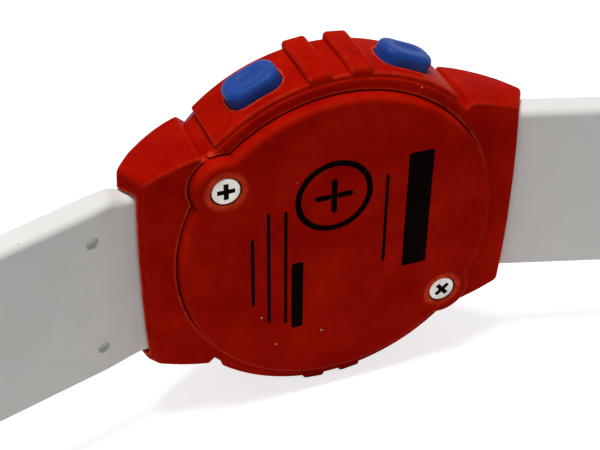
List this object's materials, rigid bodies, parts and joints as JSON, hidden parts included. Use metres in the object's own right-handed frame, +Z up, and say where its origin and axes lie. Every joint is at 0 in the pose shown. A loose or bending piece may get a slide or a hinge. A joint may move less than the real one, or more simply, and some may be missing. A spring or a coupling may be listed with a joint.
{
  "type": "toy wrist watch",
  "caption": "Child's digital wrist watch with a round plastic case, side pushers, screwed case back, display module and an open two-piece strap with buckle and keeper.",
  "frame": {"origin": "middle of the case back's outer face", "axes": "+X towards 12 o'clock, +Y from the case back towards the dial, +Z up; the watch stands on its 9 o'clock side and leans back on the ends of its strap"},
  "size_m": [0.1037, 0.0881, 0.0374],
  "materials": {
    "red_plastic": "satin moulded plastic",
    "blue_plastic": "satin moulded plastic",
    "strap": "smooth matt elastomer",
    "steel": "plated steel",
    "buckle_metal": "satin plated steel",
    "cell_steel": "bright pressed steel",
    "brass": "thin sprung sheet",
    "foam": "soft foam",
    "white_plastic": "plain moulded plastic",
    "board": "solder mask",
    "epoxy": "cured epoxy",
    "zebra": "layered conductive rubber",
    "display_glass": "display glass with grey-green ground",
    "dial_print": "printed card",
    "clear_lens": "clear polished plastic"
  },
  "bodies": {
    "case": {"case_body": "red_plastic", "case_back": "red_plastic", "case_screws": "steel", "foam_pad": "foam", "battery_clip": "brass", "battery": "cell_steel", "battery_contact": "brass", "spacer_ring": "white_plastic", "circuit_board": "board", "chip_blob": "epoxy", "crystal_can": "steel", "module_screws": "steel", "lcd_holder": "white_plastic", "zebra_strips": "zebra", "lcd_panel": "display_glass", "dial_mask": "dial_print", "lens": "clear_lens", "front_bezel": "blue_plastic", "contact_leaf_2": "brass", "contact_leaf_4": "brass", "spring_bar_12": "steel", "spring_bar_6": "steel"},
    "pusher_2": {"pusher_2": "blue_plastic", "pusher_clip_2": "steel"},
    "pusher_4": {"pusher_4": "blue_plastic", "pusher_clip_4": "steel"},
    "strap_long": {"strap_long": "strap"},
    "strap_short": {"strap_short": "strap"},
    "keeper": {"keeper_loop": "strap"},
    "buckle": {"buckle_frame": "buckle_metal", "buckle_pin": "steel"},
    "tongue": {"buckle_tongue": "buckle_metal"}
  },
  "joints": [
    {"name": "pusher_2_press", "type": "slide", "parent": "case", "child": "pusher_2", "axis": [-0.4067, 0.1163, -0.9061], "range_m": [0, 0.0008], "stiffness_N_per_m": 800, "springref_m": -0.0004, "deforming": ["contact_leaf_2"]},
    {"name": "pusher_4_press", "type": "slide", "parent": "case", "child": "pusher_4", "axis": [0.4067, 0.1163, -0.9061], "range_m": [0, 0.0008], "stiffness_N_per_m": 800, "springref_m": -0.0004, "deforming": ["contact_leaf_4"]},
    {"name": "strap_long_hinge", "type": "hinge", "parent": "case", "child": "strap_long", "pos_m": [-0.0173, 0.00417, 0.00053], "axis": [0, 0.1273, -0.9919], "range_deg": [-0.5, 25]},
    {"name": "strap_short_hinge", "type": "hinge", "parent": "case", "child": "strap_short", "pos_m": [0.0173, 0.00417, 0.00053], "axis": [0, -0.1273, 0.9919], "range_deg": [-0.5, 25]},
    {"name": "keeper_slide", "type": "slide", "parent": "strap_short", "child": "keeper", "axis": [0, 0.9919, 0.1273], "range_m": [-0.003, 0.003]},
    {"name": "buckle_hinge", "type": "hinge", "parent": "strap_short", "child": "buckle", "pos_m": [0.047, -0.03664, -0.0047], "axis": [0, -0.1273, 0.9919], "range_deg": [-60, 0]},
    {"name": "tongue_hinge", "type": "hinge", "parent": "strap_short", "child": "tongue", "pos_m": [0.047, -0.03664, -0.0047], "axis": [0, -0.1273, 0.9919], "range_deg": [0, 95]}
  ]
}
